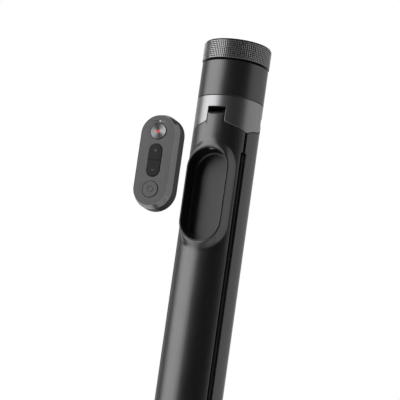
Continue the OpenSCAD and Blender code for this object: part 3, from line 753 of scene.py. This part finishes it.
def leg_a_patch():
    """Leg A's shell beside its pocket: the skin with the boss, its two long edges, and the step in each.

    Rays leave the line along the pocket's middle. Each has a direction, a foot on that line and a far
    end on the patch's edge; t is across the leg and z along it.
    """
    edge_t = side_profile(GROOVE_HALF, BODY_R - SKIN)[0][0]
    inner_t = side_point(BODY_R - SKIN, GROOVE_HALF)[0]
    top_c, low_c = POCKET_Z + HOLE_HALF, POCKET_Z - HOLE_HALF
    step = math.atan2(HEAD_BOTTOM_Z - top_c, edge_t)
    corner_up = math.atan2(PATCH_TOP_Z - top_c, edge_t)
    corner_down = math.atan2(low_c - PATCH_LOW_Z, edge_t)

    def span(a, b, n):
        return [a + (b - a) * k / n for k in range(n)]

    def rim_target(angle, c_z, limit_z, corner):
        """Where a ray from the end's centre meets the patch's edge; angle runs from 0 to pi."""
        sign = 1 if limit_z > c_z else -1
        if angle <= corner:
            return edge_t, c_z + sign * edge_t * math.tan(angle)
        if angle >= math.pi - corner:
            return -edge_t, c_z + sign * edge_t * math.tan(math.pi - angle)
        return abs(limit_z - c_z) / math.tan(angle), limit_z

    beside, below_step, above_step, over_end, beside_end = 16, 12, 3, 28, 14
    rays = []
    for z in span(-HOLE_HALF, HOLE_HALF, beside):
        rays.append((1.0, 0.0, 0.0, POCKET_Z + z, edge_t, POCKET_Z + z))
    angles = span(0, step, below_step) + span(step, corner_up, above_step)
    angles += span(corner_up, math.pi - corner_up, over_end)
    angles += span(math.pi - corner_up, math.pi - step, above_step)
    angles += span(math.pi - step, math.pi, below_step)
    for a in angles:
        t, z = rim_target(a, top_c, PATCH_TOP_Z, corner_up)
        rays.append((math.cos(a), math.sin(a), 0.0, top_c, t, z))
    for z in span(HOLE_HALF, -HOLE_HALF, beside):
        rays.append((-1.0, 0.0, 0.0, POCKET_Z + z, -edge_t, POCKET_Z + z))
    angles = span(math.pi, math.pi - corner_down, beside_end)
    angles += span(math.pi - corner_down, corner_down, over_end) + span(corner_down, 0, beside_end)
    for a in angles:
        t, z = rim_target(a, low_c, PATCH_LOW_Z, corner_down)
        rays.append((math.cos(a), -math.sin(a), 0.0, low_c, t, z))

    verts, faces, rings = [], [], []
    inner_steps, flank_steps, blend_steps, rim_share = 3, 20, 7, 0.06
    count = len(rays)

    def ring(make):
        rings.append(len(verts))
        verts.extend(in_pocket(t, z - POCKET_Z, h) for t, z, h in (make(*ray) for ray in rays))

    def inner_at(share):
        """The shell's inner side; share runs from the hole to the patch's edge."""
        def make(dx, dz, base_t, base_z, far_t, far_z):
            t, z = base_t + dx * HOLE_R, base_z + dz * HOLE_R
            t, z = t + (far_t * inner_t / edge_t - t) * share, z + (far_z - z) * share
            return t, min(z, HEAD_BOTTOM_Z), math.sqrt((BODY_R - SKIN) ** 2 - t * t)
        return make

    def outer_at(share):
        """The boss; share runs from the hole to the boss's end."""
        def make(dx, dz, base_t, base_z, far_t, far_z):
            reach = FLANK + FLANK_ENDS * dz * dz
            gap = share * reach
            t, z = base_t + dx * (HOLE_R + gap), base_z + dz * (HOLE_R + gap)
            return t, z, boss_height(t, gap, reach) - (RIM_EDGE if share == 0 else 0)
        return make

    def blend_at(share):
        """The plain skin; share runs from the boss to the patch's edge."""
        def make(dx, dz, base_t, base_z, far_t, far_z):
            reach = FLANK + FLANK_ENDS * dz * dz
            t, z = base_t + dx * (HOLE_R + reach), base_z + dz * (HOLE_R + reach)
            t, z = t + (far_t - t) * share, z + (far_z - z) * share
            return t, z, math.sqrt(BODY_R ** 2 - t * t)
        return make

    for k in range(inner_steps, -1, -1):
        ring(inner_at(k / inner_steps))
    for share in [0, rim_share] + [k / flank_steps for k in range(1, flank_steps + 1)]:
        ring(outer_at(share))
    for k in range(1, blend_steps + 1):
        ring(blend_at(k / blend_steps))
    for a, b in zip(rings, rings[1:]):
        for i in range(count):
            k = (i + 1) % count
            faces.append((a + i, a + k, b + k, b + i))

    def strip(profile, heights, sign):
        """A long edge's profile, drawn along heights."""
        start = len(verts)
        for z in heights:
            verts.extend(in_pocket(sign * t, z - POCKET_Z, h) for t, h in profile)
        n = len(profile)
        for j in range(len(heights) - 1):
            for i in range(n - 1):
                a, b = start + j * n + i, start + (j + 1) * n + i
                faces.append((a, a + 1, b + 1, b))

    side_heights = sorted({round(ray[5], 6) for ray in rays if abs(ray[4] - edge_t) < 1e-6} | {PATCH_TOP_Z})
    below = [z for z in side_heights if z <= HEAD_BOTTOM_Z + 1e-4]
    above = [z for z in side_heights if z >= HEAD_BOTTOM_Z - 1e-4]
    wide = side_profile(GROOVE_HALF, BODY_R - SKIN)
    narrow = side_profile(NARROW_HALF, POLE_CLEAR_R)
    wide_a, narrow_a = math.atan2(*wide[0]), math.atan2(*narrow[0])
    bridge = [(BODY_R * math.sin(a), BODY_R * math.cos(a))
              for a in (wide_a + (narrow_a - wide_a) * k / 3 for k in range(3))]
    for sign in (1, -1):
        strip(wide, below, sign)
        strip(bridge + narrow, above, sign)
        ledge = bridge + narrow[:3] + [side_point(BODY_R - SKIN, NARROW_HALF)] + wide[:0:-1]
        start = len(verts)
        verts.extend(in_pocket(sign * t, HEAD_BOTTOM_Z - POCKET_Z, h) for t, h in ledge)
        faces.append(tuple(range(start, len(verts))))
    return verts, faces


def leg_a():
    """Leg B's shell turned to leg A's place, with its middle replaced by the soft boss."""
    bm = cad_copy("leg_b_shell")
    bmesh.ops.rotate(bm, verts=bm.verts, cent=(0, 0, 0), matrix=Matrix.Rotation(-2 * SECTOR, 3, "Z"))
    whole = bpy.data.meshes.new("leg_a_whole")
    bm.to_mesh(whole)
    bm.free()
    whole = bevelled_mesh(whole, EDGE)
    shapes = []
    for z, keep_above in ((PATCH_TOP_Z, True), (PATCH_LOW_Z, False)):
        half = bmesh.new()
        half.from_mesh(whole)
        bmesh.ops.bisect_plane(half, geom=half.verts[:] + half.edges[:] + half.faces[:], dist=1e-7,
                               plane_co=(0, 0, z * MM), plane_no=(0, 0, 1),
                               clear_inner=keep_above, clear_outer=not keep_above)
        half.verts.index_update()
        faces = [tuple(v.index for v in f.verts) for f in half.faces]
        shapes.append(([v.co / MM for v in half.verts], faces))
        half.free()
    shapes.append(leg_a_patch())
    piece("leg_a_shell_soft", shapes, "leg_a", "leg_black", ["leg_a_shell"], SOFT_SHARP)


def pocket_tray():
    """The pocket's lining: a floor, walls with a soft foot and a thin round lip."""
    width, length = TRAY_HIGH.x * 2, TRAY_HIGH.z - TRAY_LOW.z
    wall, back, cap_inset = 0.7, -TRAY_HIGH.y, 4
    lip, floor = RIM_H + 0.22, back + 0.7
    outline = [(2.0, back), (0, back), (0, lip), (wall, lip), (wall, floor), (wall + cap_inset, floor)]
    outline = rounded(outline, [0, 0.5, 0.34, 0.34, 1.5, 0], 5, closed=False)
    # The lining's darker black is painted shade for the recess.
    piece("pocket_lining", [stadium_sweep(length, width, outline, in_pocket, closed=False)],
          "leg_a", "pocket_black", ["remote_tray"])


# ---------------------------------------------------------------- remote
def remote_case(length, width, case_h):
    """The back shell, with its socket's mouth cut through the upper end."""
    wall = 1.2
    outline = [(3, 0), (0, 0), (0, case_h), (wall, case_h), (wall, wall), (4, wall)]
    outline = rounded(outline, [0, 1.0, 0.12, 0.1, 0.4, 0], 5, closed=False)
    case = stadium_sweep(length, width, outline, on_remote, closed=False)
    socket_low, socket_high = box_mm("charge_socket")
    mouth_z = -(socket_low.y + socket_high.y) / 2 - REMOTE_BACK_H
    mouth_w, mouth_h = socket_high.x * 2 + 2 * GAP, socket_high.y - socket_low.y + 2 * GAP
    cutter = stadium_sweep(mouth_w, mouth_h, [(0, length / 2 - 4), (0, length / 2 + 2)],
                           lambda x, y, z: on_remote(y, z, mouth_z + x), closed=False)
    shell = piece("remote_case_shell", [case], "remote", "remote_case", ["remote_back"])
    tool = piece("cutter", [cutter], "remote", "remote_case")
    cut = shell.modifiers.new("mouth", "BOOLEAN")
    cut.object = tool
    cut.solver = "EXACT"
    opened = bpy.data.meshes.new_from_object(shell.evaluated_get(bpy.context.evaluated_depsgraph_get()))
    shell.modifiers.clear()
    shell.data = opened
    opened.set_sharp_from_angle(angle=math.radians(35))
    bpy.data.objects.remove(tool)


def remote_pieces():
    """The remote's case, its bright bezel and its face plate; gives the height of the face."""
    length, width = REMOTE_HIGH.z - REMOTE_LOW.z, REMOTE_HIGH.x * 2
    case_h = REMOTE_HIGH.y - REMOTE_LOW.y
    remote_case(length, width, case_h)

    low, high = case_h + GAP, -box_mm("remote_frame")[0].y - REMOTE_BACK_H
    chamfer, foot, wall = 1.1, 0.25, 1.3
    drop = high - low - foot
    outline = [(0, low), (0, high - drop), (chamfer, high), (wall, high), (wall, low)]
    outline = rounded(outline, [0.12, 0.12, 0.08, 0.05, 0], 3)
    bezel = stadium_sweep(length, width, outline, on_remote)
    piece("remote_bezel", [bezel], "remote", "remote_frame", ["remote_frame"])

    plate_l, plate_w, plate_h = FACE_HIGH.z - FACE_LOW.z, FACE_HIGH.x * 2, 1.0
    face_high = -FACE_LOW.y - REMOTE_BACK_H
    record_hole, menu_hole, light_hole = 4.5, 4.45, 0.4
    rocker_hole_l, rocker_hole_w = 17.8, 7.6
    outlines = [stadium_points(plate_l, plate_w), circle_points(record_hole, KEY_Y),
                circle_points(menu_hole, -KEY_Y), stadium_points(rocker_hole_l, rocker_hole_w),
                circle_points(light_hole, LED_Y, 24)]
    front = plate(outlines, face_high - plate_h, face_high, 0.07, on_remote)
    piece("remote_front", [front], "remote", "remote_face", ["remote_face"])
    return face_high


CROWN = 0.3      # the width of a round key's plain edge
KEY_PROUD = 0.2  # how far the keys stand over the face
KEY_FOOT = 1.8   # how far the keys' feet lie under it


def button_outline(radius, foot, top):
    """A button's outline from its flange up to the edge of its crown."""
    flange_r, flange_top = radius + 0.55, foot + 0.5
    outline = [(0, foot), (flange_r, foot), (flange_r, flange_top), (radius, flange_top), (radius, top),
               (radius - CROWN, top)]
    return rounded(outline, [0, 0.1, 0.1, 0, 0.14, 0], 3, closed=False)


def record_key(foot, top):
    """A dished key with fine turned rings and a red dot at its middle."""
    radius, dish, ring_depth, ring_step = 4.25, 0.05, 0.012, 0.085
    well_top, well_floor = top - 0.08, top - 0.6
    outline = button_outline(radius, foot, top)
    r, ripple = radius - CROWN, 0
    while r > DOT_R + 0.05:
        outline.append((r, top - dish * (1 - (r / radius) ** 2) - ring_depth * (ripple % 2)))
        r -= ring_step
        ripple += 1
    outline += [(DOT_R + GAP, well_top), (DOT_R + GAP, well_floor), (0, well_floor)]
    place = on_remote_at(KEY_Y)
    key = lathe(outline, 128, place, closed=False)
    piece("record_key", [key], "record_key", "record_metal", ["record_button"], 60)
    dot_low, dot_edge, dot_high = top - 0.58, top - 0.2, top - 0.16
    outline = [(0, dot_low), (DOT_R, dot_low), (DOT_R, dot_edge), (0, dot_high)]
    dot = lathe(rounded(outline, [0, 0, 0.12, 0], closed=False), 48, place, closed=False)
    piece("record_dot_dome", [dot], "record_key", "record_red", ["record_dot"])


def menu_key(foot, top):
    """A flat key with a ring sunk into it."""
    radius, ring_r, groove = 4.2, 1.6, 0.2
    outline = button_outline(radius, foot, top)
    outline += [(ring_r + 0.2, top), (ring_r + 0.14, top - groove), (ring_r - 0.2, top - groove),
                (ring_r - 0.26, top), (0, top)]
    key = lathe(outline, 96, on_remote_at(-KEY_Y), closed=False)
    piece("menu_key", [key], "menu_key", "remote_face", ["menu_button"])


def rocker_key(face_high, foot, top):
    """Two pads on one bed with a heel under it, and a plus and a minus on the pads."""
    half_l, half_w, split, heel_l = 8.65, 3.55, 0.13, 3.4
    straight = half_l - half_w

    def pad(sign):
        arc = [(half_w * math.cos(a), sign * (straight + half_w * math.sin(a)))
               for a in (math.pi * k / 32 for k in range(33))]
        return arc + [(-half_w, sign * split), (half_w, sign * split)]

    pads = [plate([pad(sign)], face_high - 1, top, 0.22, on_remote) for sign in (1, -1)]
    bed = plate([stadium_points(half_l * 2 - 0.1, half_w * 2 - 0.1)], foot + 0.2, top - 0.25, 0.05, on_remote)
    block = [(-half_w, -heel_l), (half_w, -heel_l), (half_w, heel_l), (-half_w, heel_l)]
    heel = plate([block], face_high - 3.2, foot + 0.3, 0.1, on_remote)
    piece("rocker_key", [*pads, bed, heel], "zoom_key", "rocker_plastic", ["zoom_rocker"])

    arm, thick, mark_y, mark_half = 0.85, 0.14, 5.2, 0.05
    plus = [(-thick, -arm), (thick, -arm), (thick, -thick), (arm, -thick), (arm, thick), (thick, thick),
            (thick, arm), (-thick, arm), (-thick, thick), (-arm, thick), (-arm, -thick), (-thick, -thick)]
    minus = [(-arm, -thick), (arm, -thick), (arm, thick), (-arm, thick)]
    marks = [plate([[(x, y + offset) for x, y in mark]], top - mark_half, top + mark_half, 0.02, on_remote)
             for mark, offset in ((plus, mark_y), (minus, -mark_y))]
    piece("rocker_marks", marks, "zoom_key", "rocker_plastic", material=MATERIALS["rocker_mark"])


# ---------------------------------------------------------------- the model
make_world()
make_floor()
softbox("key", angle=-77, distance=1.0, height=0.2, width=1.25, length=1.6, radiance=2.42)
softbox("fill_right", angle=94, distance=1.0, height=0.1, width=1.45, length=1.8, radiance=0.58)
thumb_ring()
rubber_seat()
camera_stud()
head_housing()
softened("yoke_sleeve", 0.14)
softened("yoke_core", 0.12)
for leg in "abc":
    if leg != "a":
        softened(f"leg_{leg}_shell", EDGE)
    softened(f"leg_{leg}_liner", 0.2)
    softened(f"leg_{leg}_foot", 0.8, segments=3)
for k in range(1, 6):
    softened(f"tube_{k}", 0.1)
for k in range(1, 5):
    softened(f"bush_{k}", 0.15)
softened("pole_end_cap", 0.4, segments=3)
leg_a()
pocket_tray()
softened("detent_spring", 0.12)
front = remote_pieces()
key_foot, key_top = front - KEY_FOOT, front + KEY_PROUD
record_key(key_foot, key_top)
menu_key(key_foot, key_top)
rocker_key(front, key_foot, key_top)

scene.view_settings.view_transform = "Standard"
